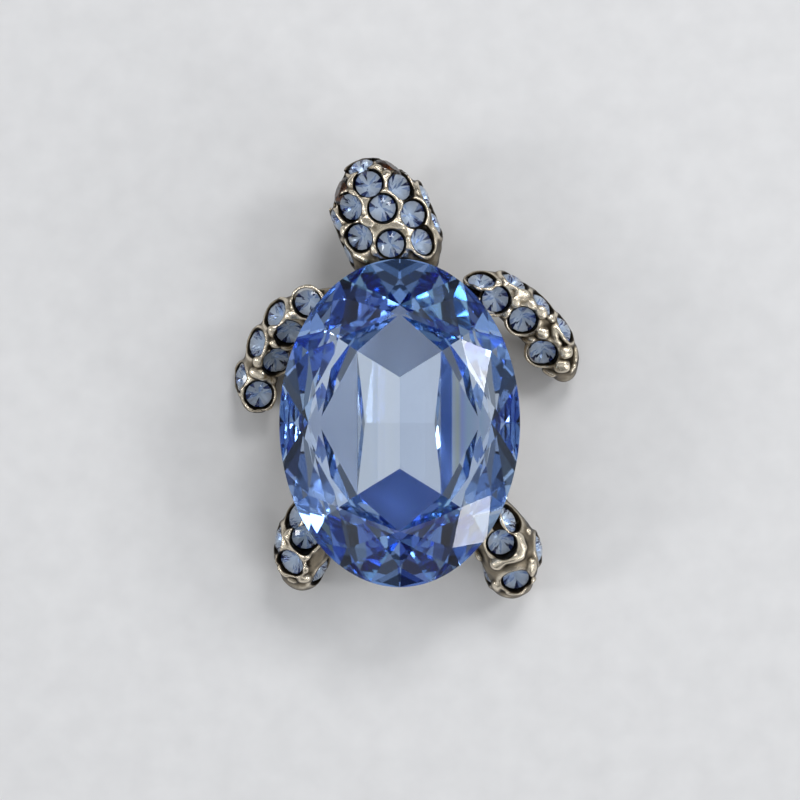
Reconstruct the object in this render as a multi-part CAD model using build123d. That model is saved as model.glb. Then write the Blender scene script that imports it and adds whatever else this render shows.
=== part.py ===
from build123d import *
import math
import os
from collections import namedtuple

# A turtle brooch, in millimetres. +Y points to the turtle's head, +X to the right as it is looked at,
# and +Z out of the garment. It lies on its flipper and foot tips, at z = 0.

# Shell stone
shell_width = 22.0
shell_length = 30.0
shell_crown = 2.9
shell_girdle = 0.4
shell_pavilion = 5.0

# Small round stones and the two eye stones
gem_diameter = 2.45
gem_crown = 0.38
gem_girdle = 0.08
gem_pavilion = 1.02
eye_length = 3.3
eye_width = 2.3
eye_crown = 0.55
eye_pavilion = 1.05

# Cup under the shell stone
cup_back = 3.2
cup_floor = 0.8
cup_wall = 0.9
cup_swell = 0.5
rim_drop = 1.8
shell_gap = 0.15
seat_margin = 0.35
seat_floor_share = 0.60

# Seats of the small stones
seat_clearance = 0.04
collar_wall = 0.26
collar_flare = 0.34
collar_rise = 0.1
gem_sink = 0.3
eye_sink = 0.45

# Body: reach from root to tip, heading of the reach in degrees, and thickness
root_drop = 1.0
root_length = 1.6
root_girth = 0.85
head_reach = 8.35
head_heading = 114.0
head_thickness = 8.9
left_flipper_reach = 11.6
left_flipper_heading = -126.0
left_flipper_thickness = 3.5
right_flipper_reach = 11.2
right_flipper_heading = -43.0
right_flipper_thickness = 4.1
left_foot_reach = 6.4
left_foot_heading = -108.0
left_foot_thickness = 4.7
right_foot_reach = 7.4
right_foot_heading = -66.5
right_foot_thickness = 5.4
bead_diameter = 1.1
bead_sink = 0.35

# Pin on the back
pin_length = 19.0
pin_diameter = 0.9
pin_standoff = 2.1
pin_barrel = 1.7
pin_barrel_width = 3.2
pin_post = 1.5
pin_gap = 0.04

half_width = shell_width / 2
half_length = shell_length / 2
shell_z = cup_back + cup_floor + shell_gap + shell_pavilion
seat_depth = shell_pavilion + shell_gap
rim_z = shell_z - rim_drop

# along and bow are shares of the limb's reach, lift is a share of its root's height above the surface,
# and girth is a share of its thickness.
Section = namedtuple("Section", "along bow lift girth")
# share is the place along the limb, roll the turn round it from the top, and lean and pitch turn the
# stone's own axis sideways and towards the tip, in degrees.
Seat = namedtuple("Seat", "share roll lean pitch")
# size is a share of the bead diameter.
Bead = namedtuple("Bead", "share roll pitch size")
# root is a share of the shell stone's half sizes.
Limb = namedtuple("Limb", "name root reach heading thickness sections seats beads")
# The lengths between a limb's sections are this much slimmer than the balls at them.
NECKING = 0.97
# The turn of each ball's seam from the underside, in degrees.
BALL_SEAM_TURN = 23
RIGHT_ANGLE = 90

HEAD = Limb(
    name="head_stone",
    root=(0.070, 0.916),
    reach=head_reach,
    heading=head_heading,
    thickness=head_thickness,
    sections=[
        Section(0.00, 0.0, 1.00, 0.72),
        Section(0.36, 0.0, 0.40, 0.97),
        Section(0.66, 0.0, 0.49, 1.00),
        Section(0.85, 0.0, 1.26, 0.83),
        Section(1.00, 0.0, 2.11, 0.62),
    ],
    seats=[
        Seat(1.00, 0, 0, 36),
        Seat(0.89, 50, 42, 16),
        Seat(0.90, -48, -42, 18),
        Seat(0.81, 4, 2, 15),
        Seat(0.60, 37, 27, 4),
        Seat(0.60, -39, -30, 4),
        Seat(0.37, -5, 0, 0),
        Seat(0.25, 36, 46, 0),
        Seat(0.84, -86, -78, 0),
        Seat(0.46, -86, -78, 0),
        Seat(0.38, 80, 80, 0),
        Seat(0.71, 82, 80, 0),
        Seat(1.00, 0, 0, 90),
    ],
    beads=[
        Bead(0.90, 2, 0, 0.8),
        Bead(0.66, 22, 0, 0.7),
        Bead(0.66, -20, 0, 0.8),
        Bead(0.47, 17, 0, 0.9),
        Bead(0.46, 62, 0, 0.8),
        Bead(0.72, 60, 0, 0.9),
        Bead(0.33, -38, 0, 1.0),
        Bead(0.70, -62, 0, 0.9),
        Bead(1.00, 34, 20, 0.8),
        Bead(1.00, -34, 20, 0.8),
        Bead(0.22, -52, 0, 1.0),
    ],
)
LEFT_FLIPPER = Limb(
    name="left_flipper_stone",
    root=(-0.583, 0.785),
    reach=left_flipper_reach,
    heading=left_flipper_heading,
    thickness=left_flipper_thickness,
    sections=[
        Section(0.00, 0.0, 1.00, 1.03),
        Section(0.14, -0.08, 0.86, 1.03),
        Section(0.33, -0.157, 0.64, 1.00),
        Section(0.60, -0.158, 0.28, 1.00),
        Section(0.85, -0.09, 0.04, 1.00),
        Section(1.00, 0.0, 0.00, 0.88),
    ],
    seats=[
        Seat(0.125, 4, -8, 0),
        Seat(0.38, -36, -24, 0),
        Seat(0.66, -44, -28, 0),
        Seat(0.955, -8, -4, 6),
        Seat(0.36, 44, 50, 0),
        Seat(0.605, 46, 52, 0),
        Seat(0.88, 84, 62, 0),
    ],
    beads=[
        Bead(0.24, 24, 0, 1.0),
        Bead(0.50, 4, 0, 0.9),
        Bead(0.78, 18, 0, 0.9),
        Bead(0.52, -78, 0, 0.9),
        Bead(0.20, -62, 0, 0.9),
        Bead(1.00, 40, 50, 1.0),
        Bead(1.00, -50, 40, 1.1),
        Bead(0.82, -70, 0, 0.8),
    ],
)
RIGHT_FLIPPER = Limb(
    name="right_flipper_stone",
    root=(0.655, 0.828),
    reach=right_flipper_reach,
    heading=right_flipper_heading,
    thickness=right_flipper_thickness,
    sections=[
        Section(0.00, 0.0, 1.00, 0.93),
        Section(0.14, 0.083, 0.90, 0.95),
        Section(0.36, 0.123, 0.69, 1.00),
        Section(0.66, 0.109, 0.36, 1.00),
        Section(0.88, 0.05, 0.13, 0.95),
        Section(1.00, 0.0, 0.07, 0.78),
    ],
    seats=[
        Seat(0.12, 24, 14, 0),
        Seat(0.39, 24, 16, 0),
        Seat(0.71, 40, 18, 4),
        Seat(0.00, -24, -62, 0),
        Seat(0.21, -70, -74, 0),
        Seat(0.44, -60, -72, 0),
        Seat(0.68, -62, -72, 0),
    ],
    beads=[
        Bead(0.27, -14, 0, 1.2),
        Bead(0.30, -34, 0, 0.9),
        Bead(0.56, -8, 0, 1.2),
        Bead(0.58, -30, 0, 1.0),
        Bead(0.86, -40, 0, 1.1),
        Bead(0.88, -4, 10, 1.1),
        Bead(1.00, -50, 40, 1.2),
        Bead(1.00, 30, 50, 1.2),
        Bead(0.92, 60, 20, 1.0),
        Bead(0.54, 62, 0, 0.9),
        Bead(0.14, -24, 0, 1.0),
    ],
)
LEFT_FOOT = Limb(
    name="left_foot_stone",
    root=(-0.646, -0.500),
    reach=left_foot_reach,
    heading=left_foot_heading,
    thickness=left_foot_thickness,
    sections=[
        Section(0.00, 0.0, 1.00, 0.81),
        Section(0.37, -0.11, 0.70, 0.94),
        Section(0.72, -0.11, 0.31, 1.04),
        Section(1.00, 0.0, 0.00, 0.85),
    ],
    seats=[
        Seat(0.66, 16, 30, 0),
        Seat(0.88, -62, -50, 18),
        Seat(0.34, -8, -10, 0),
        Seat(0.56, 76, 76, 0),
        Seat(0.22, 50, 60, 0),
    ],
    beads=[
        Bead(0.30, 32, 0, 1.5),
        Bead(0.58, -20, 0, 1.3),
        Bead(0.72, -44, 0, 1.1),
        Bead(0.88, 52, 0, 1.2),
        Bead(1.00, 44, 30, 1.4),
        Bead(1.00, -6, 44, 1.5),
        Bead(0.78, 84, 0, 1.0),
    ],
)
RIGHT_FOOT = Limb(
    name="right_foot_stone",
    root=(0.673, -0.492),
    reach=right_foot_reach,
    heading=right_foot_heading,
    thickness=right_foot_thickness,
    sections=[
        Section(0.00, 0.0, 1.00, 0.72),
        Section(0.35, 0.081, 0.77, 0.86),
        Section(0.70, 0.096, 0.34, 1.03),
        Section(1.00, 0.0, 0.06, 0.80),
    ],
    seats=[
        Seat(0.39, 12, 4, 0),
        Seat(0.84, -6, -4, 0),
        Seat(0.96, 92, 70, 0),
        Seat(0.255, -37, -66, 0),
        Seat(0.70, -84, -76, 0),
    ],
    beads=[
        Bead(0.32, -20, 0, 1.0),
        Bead(0.42, -26, 0, 1.1),
        Bead(0.52, -24, 0, 1.2),
        Bead(0.60, -14, 0, 1.2),
        Bead(0.63, 0, 0, 1.2),
        Bead(0.65, 14, 0, 1.1),
        Bead(0.70, 28, 0, 1.0),
        Bead(0.78, 40, 0, 1.0),
        Bead(1.00, 20, 54, 1.4),
        Bead(1.00, -40, 44, 1.3),
        Bead(0.92, -52, 10, 1.2),
        Bead(0.60, 66, 0, 1.1),
    ],
)
LIMBS = [HEAD, LEFT_FLIPPER, RIGHT_FLIPPER, LEFT_FOOT, RIGHT_FOOT]

# The head's side seats for the eyes
EYES = {
    "eye_stone_left": Seat(0.85, -92, -88, 44),
    "eye_stone_right": Seat(0.97, 88, 86, 32),
}


def unit(angle):
    """The direction in the plane at an angle in degrees."""
    return math.cos(math.radians(angle)), math.sin(math.radians(angle))


def solid_from_facets(facets):
    """A closed solid from lists of corner points, one list for each flat facet."""
    faces = [Face(Wire.make_polygon(corners, close=True)) for corners in facets]
    return Solid(Shell(faces))


def brilliant(width, length, crown, girdle, pavilion):
    """A round or oval brilliant: 8 stars, 8 kites and 16 halves above, 8 mains and 16 halves below.

    Its girdle's lower edge is at z = 0 and its table faces +Z.
    """
    mains = 8
    table_share = 0.55
    star_share = 0.78
    lower_share = 0.28
    half_step = math.cos(math.radians(180 / mains))
    kite_slope = crown / (1 - table_share)
    star_z = girdle + (1 - star_share * half_step) * kite_slope
    lower_z = -(1 - lower_share * half_step) * pavilion

    def ring(share, turn, z):
        x, y = unit(turn * 360 / mains)
        return Vector(width / 2 * share * x, length / 2 * share * y, z)

    culet = Vector(0, 0, -pavilion)
    facets = [[ring(table_share, k, girdle + crown) for k in range(mains)]]
    for k in range(mains):
        corner = ring(table_share, k, girdle + crown)
        next_corner = ring(table_share, k + 1, girdle + crown)
        star = ring(star_share, k + 0.5, star_z)
        last_star = ring(star_share, k - 0.5, star_z)
        lower = ring(lower_share, k + 0.5, lower_z)
        last_lower = ring(lower_share, k - 0.5, lower_z)
        top = [ring(1, k + turn, girdle) for turn in (0, 0.5, 1)]
        low = [ring(1, k + turn, 0) for turn in (0, 0.5, 1)]
        facets.append([corner, next_corner, star])
        facets.append([corner, star, top[0], last_star])
        facets.append([star, top[1], top[0]])
        facets.append([star, top[2], top[1]])
        facets.append([top[0], top[1], low[1], low[0]])
        facets.append([top[1], top[2], low[2], low[1]])
        facets.append([culet, last_lower, low[0], lower])
        facets.append([lower, low[0], low[1]])
        facets.append([lower, low[1], low[2]])
    return solid_from_facets(facets)


def shell_crown_facets(sides, outer, ring):
    """Table, stars, kites, lozenges and the steep outer band of the shell stone's crown."""
    half_step = math.cos(math.radians(180 / sides))
    tip_share = 0.875
    tip_rise_share = 0.54
    tip_rise = tip_rise_share * shell_crown
    star_share = 0.72
    lozenge_slope = tip_rise / (outer - tip_share * half_step)
    star_rise = tip_rise + (tip_share * half_step - star_share) * lozenge_slope
    kite_slope = (star_rise - tip_rise) / (tip_share - star_share * half_step)
    table_share = star_share * half_step - (shell_crown - star_rise) / kite_slope
    table_z = shell_girdle + shell_crown
    facets = [[ring(table_share, k, table_z) for k in range(sides)]]
    for k in range(sides):
        corner = ring(table_share, k, table_z)
        next_corner = ring(table_share, k + 1, table_z)
        star = ring(star_share, k + 0.5, shell_girdle + star_rise)
        last_star = ring(star_share, k - 0.5, shell_girdle + star_rise)
        tip = ring(tip_share, k, shell_girdle + tip_rise)
        next_tip = ring(tip_share, k + 1, shell_girdle + tip_rise)
        edge = [ring(outer, k + turn, shell_girdle) for turn in (-0.5, 0, 0.5)]
        facets.append([corner, next_corner, star])
        facets.append([corner, star, tip, last_star])
        facets.append([star, next_tip, edge[2], tip])
        facets.append([tip, edge[1], edge[0]])
        facets.append([tip, edge[2], edge[1]])
    return facets


def shell_pavilion_facets(sides, outer, ring):
    """The foiled back: four broad, nearly flat facets at the culet, four kites, and a steeper outer tier."""
    side_rise = 0.44
    end_rise = 0.105
    side_in, side_out = 0.29, 0.68
    end_in, end_out = 0.28, 0.667
    corner_x, corner_y = 0.355, 0.44
    shoulder_share, shoulder_depth = 0.735, 0.545

    def point(x_share, y_share, depth):
        return Vector(half_width * x_share, half_length * y_share, -shell_pavilion * depth)

    def floor_depth(x_share, y_share):
        return 1 - side_rise * x_share - end_rise * y_share

    corner_depth = floor_depth(corner_x, corner_y)
    side_depth = floor_depth(side_in, 0)
    end_depth = floor_depth(0, end_in)
    side_out_depth = side_depth - (side_out - side_in) * (side_depth - corner_depth) / (corner_x - side_in)
    end_out_depth = end_depth - (end_out - end_in) * (end_depth - corner_depth) / (corner_y - end_in)
    x45, y45 = unit(45)
    culet = point(0, 0, 1)
    facets = []
    for right in (1, -1):
        side, side_far = point(right * side_in, 0, side_depth), point(right * side_out, 0, side_out_depth)
        corners = [point(right * corner_x, up * corner_y, corner_depth) for up in (1, -1)]
        facets.append([side, corners[0], side_far, corners[1]])
    for up in (1, -1):
        end, end_far = point(0, up * end_in, end_depth), point(0, up * end_out, end_out_depth)
        corners = [point(right * corner_x, up * corner_y, corner_depth) for right in (1, -1)]
        facets.append([end, corners[0], end_far, corners[1]])
    for right in (1, -1):
        for up in (1, -1):
            side, side_far = point(right * side_in, 0, side_depth), point(right * side_out, 0, side_out_depth)
            end, end_far = point(0, up * end_in, end_depth), point(0, up * end_out, end_out_depth)
            corner = point(right * corner_x, up * corner_y, corner_depth)
            shoulder = point(right * shoulder_share * x45, up * shoulder_share * y45, shoulder_depth)
            # Edge points of this quarter, from the side of the stone round to its end.
            turns = [k / 2 * right * up for k in range(sides // 2 + 1)]
            start = 0 if right > 0 else sides / 2
            edge = [ring(outer, start + turn, 0) for turn in turns]
            facets.append([culet, side, corner, end])
            facets.append([corner, side_far, shoulder])
            facets.append([corner, shoulder, end_far])
            facets.append([side_far, edge[0], edge[1]])
            facets.append([side_far, edge[1], edge[2]])
            facets.append([side_far, edge[2], shoulder])
            facets.append([shoulder, edge[2], edge[3]])
            facets.append([shoulder, edge[3], edge[4]])
            facets.append([shoulder, edge[4], end_far])
            facets.append([end_far, edge[4], edge[5]])
            facets.append([end_far, edge[5], edge[6]])
    return facets


def shell_stone():
    """The big oval stone: a polyhedron a little larger than the oval, trimmed to the smooth oval outline."""
    sides = 12
    oversize = 1.015
    outer = oversize / math.cos(math.radians(90 / sides))

    def ring(share, turn, z):
        x, y = unit(turn * 360 / sides)
        return Vector(half_width * share * x, half_length * share * y, z)

    facets = shell_crown_facets(sides, outer, ring) + shell_pavilion_facets(sides, outer, ring)
    for k in range(2 * sides):
        low = [ring(outer, turn / 2, 0) for turn in (k, k + 1)]
        high = [ring(outer, turn / 2, shell_girdle) for turn in (k + 1, k)]
        facets.append(low + high)
    blank = solid_from_facets(facets)
    height = shell_pavilion + shell_girdle + shell_crown
    trim = extrude(Pos(0, 0, -height) * Ellipse(half_width, half_length), 2 * height)
    return Pos(0, 0, shell_z) * (trim & blank)


def seat_half_sizes(depth):
    """Half width and half length of the shell stone's seat at a depth under its girdle."""
    down = depth / seat_depth
    share = 1 + (seat_floor_share - 1) * down
    margin = seat_margin * (1 - down)
    return half_width * share + margin, half_length * share + margin


def shell_room():
    """The space that the shell stone takes up in the metal, with its clearance."""
    wide = seat_half_sizes(0)
    narrow = seat_half_sizes(seat_depth)
    cone = loft([Pos(0, 0, shell_z - seat_depth) * Ellipse(*narrow), Pos(0, 0, shell_z) * Ellipse(*wide)])
    above = extrude(Pos(0, 0, shell_z) * Ellipse(*wide), shell_girdle + shell_crown + head_thickness)
    return cone + above


def cup():
    """The oval cup's outer body, still without its hollow."""
    rim = [size + cup_wall for size in seat_half_sizes(rim_drop)]
    floor = [size + cup_wall for size in seat_half_sizes(seat_depth)]
    middle = [(low + high) / 2 + cup_swell for low, high in zip(floor, rim)]
    return loft([
        Pos(0, 0, cup_back) * Ellipse(*floor),
        Pos(0, 0, (cup_back + rim_z) / 2) * Ellipse(*middle),
        Pos(0, 0, rim_z) * Ellipse(*rim),
    ])


def tapered(bottom_radius, top_radius, height):
    """A cone's frustum round the middle of its height, or a cylinder where both ends are alike."""
    if math.isclose(bottom_radius, top_radius, rel_tol=1e-4):
        return Cylinder(bottom_radius, height)
    return Cone(bottom_radius, top_radius, height)


class LimbShape:
    """The centreline and the plain tapering body of one limb, or of the head."""

    def __init__(self, limb):
        self.limb = limb
        root_radius = limb.thickness / 2 * limb.sections[0].girth
        root_height = shell_z - root_drop - 2 * root_radius
        root_x, root_y = half_width * limb.root[0], half_length * limb.root[1]
        ahead_x, ahead_y = unit(limb.heading)
        points = []
        self.radii = []
        for row in limb.sections:
            along, bow = row.along * limb.reach, row.bow * limb.reach
            radius = limb.thickness / 2 * row.girth
            x = root_x + along * ahead_x - bow * ahead_y
            y = root_y + along * ahead_y + bow * ahead_x
            points.append(Vector(x, y, row.lift * root_height + radius))
            self.radii.append(radius)
        self.line = Spline(*points)
        self.shares = self.place_sections(points)
        self.body = self.make_body(points)

    def place_sections(self, points):
        """The share of the centreline at which each section lies."""
        lengths = [(b - a).length for a, b in zip(points, points[1:])]
        total = sum(lengths)
        return [sum(lengths[:k]) / total for k in range(len(points))]

    def make_body(self, points):
        """Balls at the sections, from inside the cup to the tip, and tapering lengths between them.

        The first ball lies nearer to the middle of the shell stone, so the root grows out from under it.
        """
        inward = Vector(-points[0].X, -points[0].Y, 0).normalized()
        centres = [points[0] + inward * root_length] + points
        radii = [self.radii[0] * root_girth] + self.radii
        runs = [end - start for start, end in zip(centres, centres[1:])]
        # Each ball's poles are buried or at the tip, and its seam is beside that of the tapering lengths.
        balls = [
            self.underside_plane(centre, axis) * Rot(0, 0, BALL_SEAM_TURN) * Sphere(radius)
            for centre, axis, radius in zip(centres, runs + [runs[-1]], radii)
        ]
        lengths = []
        for start, run, low, high in zip(centres, runs, radii, radii[1:]):
            place = self.underside_plane(start + run / 2, run)
            lengths.append(place * tapered(low * NECKING, high * NECKING, run.length))
        return balls[0] + balls[1:] + lengths

    def underside_plane(self, origin, axis):
        """A plane square to an axis, with its x direction towards the underside."""
        axis = axis.normalized()
        down = Vector(0, 0, -1)
        return Plane(origin, x_dir=(down - axis * down.dot(axis)).normalized(), z_dir=axis)

    def surface(self, share, roll, pitch):
        """The point on the body's skin that is seen from the centreline along a turned direction."""
        centre = self.line @ share
        direction = self.turned(share, roll, pitch)
        hits = self.body.find_intersection_points(Axis(centre, direction))
        return max((point for point, _ in hits), key=lambda point: (point - centre).dot(direction))

    def turned(self, share, roll, pitch):
        """A unit direction, rolled round the centreline from the top and pitched towards the tip."""
        ahead = self.line % share
        side = ahead.cross(Vector(0, 0, 1)).normalized()
        up = side.cross(ahead).normalized()
        over, across = unit(roll)
        outward, forward = unit(pitch)
        return ahead * forward + (side * across + up * over) * outward

    def seat_plane(self, seat, sink):
        """The plane of a stone's lower girdle edge in its seat."""
        point = self.surface(seat.share, seat.roll, seat.pitch)
        normal = self.turned(seat.share, seat.lean, seat.pitch)
        along = self.turned(seat.share, seat.lean, seat.pitch + RIGHT_ANGLE)
        return Plane(point - normal * sink, x_dir=along, z_dir=normal)


def funnel(low, high, bottom, top):
    """A tapering length from one height to another, round or oval, from its half widths and half lengths."""
    if low[0] == low[1] and high[0] == high[1]:
        return Pos(0, 0, (bottom + top) / 2) * tapered(low[0], high[0], top - bottom)
    return loft([Pos(0, 0, bottom) * Ellipse(*low), Pos(0, 0, top) * Ellipse(*high)])


def collar(length, width, girdle, pavilion):
    """The flared metal collar that stands round a stone."""
    lip = (length / 2 + collar_wall, width / 2 + collar_wall)
    base = (lip[0] + collar_flare, lip[1] + collar_flare)
    return funnel(base, lip, -pavilion, girdle + collar_rise)


def stone_room(length, width, girdle, crown, pavilion):
    """The space that a small stone takes up in the metal, with its clearance."""
    wide = (length / 2 + seat_clearance, width / 2 + seat_clearance)
    narrow = (seat_clearance * 2, seat_clearance * 2 * width / length)
    cone = funnel(narrow, wide, -pavilion - 2 * seat_clearance, 0)
    return cone + funnel(wide, wide, 0, girdle + 3 * crown)


def dressed_limb(shape, seats, collars, rooms):
    """A limb with its beads and collars, its stone seats cut out, each kind in a step of its own."""
    beads = []
    for bead in shape.limb.beads:
        radius = bead_diameter / 2 * bead.size
        point = shape.surface(bead.share, bead.roll, bead.pitch)
        outward = shape.turned(bead.share, bead.roll, bead.pitch)
        beads.append(Plane(point - outward * (bead_sink * radius), z_dir=outward) * Sphere(radius))
    metal = shape.body + beads
    metal += [plane * item for plane, item in zip(seats, collars)]
    return metal - [plane * item for plane, item in zip(seats, rooms)]


def brooch_pin():
    """Pin stem, hinge barrel, catch barrel and their posts, on the cup's back."""
    axis_z = cup_back - pin_standoff
    post_height = pin_standoff - pin_gap
    stem = Pos(0, 0, axis_z) * Rot(90, 0, 0) * Cylinder(pin_diameter / 2, pin_length)
    parts = []
    for end in (1, -1):
        place = Pos(0, end * (pin_length - pin_barrel) / 2, axis_z)
        parts.append(place * Rot(0, 90, 0) * Cylinder(pin_barrel / 2, pin_barrel_width))
        post = Box(pin_barrel_width, pin_post, post_height, align=(Align.CENTER, Align.CENTER, Align.MIN))
        parts.append(place * post)
    return stem + parts


def build():
    """Every node of the brooch, by name, round the middle of the shell stone."""
    gem = brilliant(gem_diameter, gem_diameter, gem_crown, gem_girdle, gem_pavilion)
    eye = brilliant(eye_length, eye_width, eye_crown, gem_girdle, eye_pavilion)
    gem_collar = collar(gem_diameter, gem_diameter, gem_girdle, gem_pavilion)
    gem_room = stone_room(gem_diameter, gem_diameter, gem_girdle, gem_crown, gem_pavilion)
    eye_collar = collar(eye_length, eye_width, gem_girdle, eye_pavilion)
    eye_room = stone_room(eye_length, eye_width, gem_girdle, eye_crown, eye_pavilion)
    nodes = {"shell_stone": shell_stone()}
    metal = cup()
    for limb in LIMBS:
        shape = LimbShape(limb)
        planes = [shape.seat_plane(seat, gem_sink) for seat in limb.seats]
        collars, rooms = [gem_collar] * len(planes), [gem_room] * len(planes)
        for number, plane in enumerate(planes, start=1):
            digits = 2 if limb is HEAD else 1
            nodes[f"{limb.name}_{number:0{digits}d}"] = plane * gem
        if limb is HEAD:
            for name, seat in EYES.items():
                plane = shape.seat_plane(seat, eye_sink)
                planes.append(plane)
                collars.append(eye_collar)
                rooms.append(eye_room)
                nodes[name] = plane * eye
        metal += dressed_limb(shape, planes, collars, rooms)
    nodes["casting"] = metal - shell_room()
    nodes["brooch_pin"] = brooch_pin()
    return nodes


def footprint_shift(shapes):
    """The move that puts the origin under the middle of the footprint, on the surface."""
    boxes = [shape.bounding_box() for shape in shapes]
    low = [min(getattr(box.min, axis) for box in boxes) for axis in "XYZ"]
    high = [max(getattr(box.max, axis) for box in boxes) for axis in "XYZ"]
    return Pos(-(low[0] + high[0]) / 2, -(low[1] + high[1]) / 2, -low[2])


nodes = build()
shift = footprint_shift(nodes.values())
os.makedirs("parts", exist_ok=True)
for name, shape in nodes.items():
    export_step(shift * shape, f"parts/{name}.step")
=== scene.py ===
import bpy
import math
import numpy as np
from collections import namedtuple
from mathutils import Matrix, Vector


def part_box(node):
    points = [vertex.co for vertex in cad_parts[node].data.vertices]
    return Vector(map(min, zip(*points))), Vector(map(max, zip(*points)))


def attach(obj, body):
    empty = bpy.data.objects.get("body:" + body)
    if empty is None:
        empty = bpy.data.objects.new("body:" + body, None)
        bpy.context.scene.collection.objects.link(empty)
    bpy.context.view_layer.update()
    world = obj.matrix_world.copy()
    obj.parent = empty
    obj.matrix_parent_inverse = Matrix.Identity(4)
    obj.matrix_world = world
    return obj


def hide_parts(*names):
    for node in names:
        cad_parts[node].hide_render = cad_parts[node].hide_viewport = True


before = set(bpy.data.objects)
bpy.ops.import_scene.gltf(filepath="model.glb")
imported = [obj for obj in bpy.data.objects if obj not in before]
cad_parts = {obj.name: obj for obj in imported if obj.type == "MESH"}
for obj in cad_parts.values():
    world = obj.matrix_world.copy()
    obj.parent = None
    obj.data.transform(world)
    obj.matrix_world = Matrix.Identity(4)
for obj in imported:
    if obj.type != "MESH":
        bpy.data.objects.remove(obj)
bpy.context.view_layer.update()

# A turtle brooch, lying face up. The scene is in metres. Names that end in _MM, the shell stone's place and
# the metal's relief are in millimetres.
MM = 0.001

# The photograph's frame: 800 x 800 pixels, looking straight down at the brooch
IMAGE_SIZE = 800
IMAGE_CENTRE = IMAGE_SIZE / 2
PIXELS_PER_MM = 10.93
SHELL_CENTRE_PX = (399.7, 423.0)
CAMERA_HEIGHT_MM = 500.0
SENSOR_WIDTH_MM = 36.0

# Pale panels round the studio, and in metres the windows' distance and the floor's half width
PANELS = 6
LIGHT_DISTANCE = 0.62
FLOOR_HALF = 1.2
# A stone needs many bounces, or facets go black
BOUNCES = 32

# The nodes of the small round stones and of the eyes
SMALL_STONES = [f"head_stone_{k:02d}" for k in range(1, 14)]
for part, count in (("left_flipper", 7), ("right_flipper", 7), ("left_foot", 5), ("right_foot", 5)):
    SMALL_STONES += [f"{part}_stone_{k}" for k in range(1, count + 1)]
EYE_STONES = ["eye_stone_left", "eye_stone_right"]

# The shell stone's depth below its girdle, and its place and half sizes in millimetres
SHELL_PAVILION_MM = 5.0
shell_low, shell_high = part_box("shell_stone")
shell_middle = np.array((shell_low + shell_high) / 2) / MM
half_width = (shell_high.x - shell_low.x) / 2 / MM
half_length = (shell_high.y - shell_low.y) / 2 / MM
girdle_z = shell_low.z / MM + SHELL_PAVILION_MM


def at_pixel(px, py):
    """Where the camera sees a pixel at the height of the shell stone's girdle, in millimetres."""
    x = shell_middle[0] + (px - SHELL_CENTRE_PX[0]) / PIXELS_PER_MM
    y = shell_middle[1] + (SHELL_CENTRE_PX[1] - py) / PIXELS_PER_MM
    return np.array((x, y, girdle_z))


# Camera, floor and light

def place_camera():
    """A camera above the middle of the image, with the shell stone's middle at its pixel."""
    data = bpy.data.cameras.new("camera")
    data.sensor_width = SENSOR_WIDTH_MM
    data.lens = SENSOR_WIDTH_MM * CAMERA_HEIGHT_MM / (IMAGE_SIZE / PIXELS_PER_MM)
    data.clip_start = 0.01
    data.clip_end = 5.0
    camera = bpy.data.objects.new("camera", data)
    camera.location = (at_pixel(IMAGE_CENTRE, IMAGE_CENTRE) + (0, 0, CAMERA_HEIGHT_MM)) * MM
    bpy.context.scene.collection.objects.link(camera)
    bpy.context.scene.camera = camera


def soft_light(name, azimuth, lean, size, watts):
    """A square light aimed at the brooch, at a turn round it from +X and a lean from straight overhead."""
    data = bpy.data.lights.new(name, "AREA")
    data.shape = "SQUARE"
    data.size = size
    data.energy = watts
    turn, tilt = math.radians(azimuth), math.radians(lean)
    place = Vector((math.sin(tilt) * math.cos(turn), math.sin(tilt) * math.sin(turn), math.cos(tilt)))
    light = bpy.data.objects.new(name, data)
    light.location = place * LIGHT_DISTANCE
    light.rotation_euler = (-place).to_track_quat("-Z", "Y").to_euler()
    bpy.context.scene.collection.objects.link(light)


def map_range(nodes, from_range, to_range):
    """A node that maps one range of values to another."""
    node = nodes.new("ShaderNodeMapRange")
    node.inputs["From Min"].default_value, node.inputs["From Max"].default_value = from_range
    node.inputs["To Min"].default_value, node.inputs["To Max"].default_value = to_range
    return node


def maths(nodes, operation):
    """A node that does one sum."""
    node = nodes.new("ShaderNodeMath")
    node.operation = operation
    return node


def multiply_colours(nodes, links, first, second):
    """The product of two colours, as an output socket."""
    mix = nodes.new("ShaderNodeMix")
    mix.data_type = "RGBA"
    mix.blend_type = "MULTIPLY"
    mix.inputs["Factor"].default_value = 1.0
    links.new(first, mix.inputs["A"])
    links.new(second, mix.inputs["B"])
    return mix.outputs["Result"]


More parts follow.
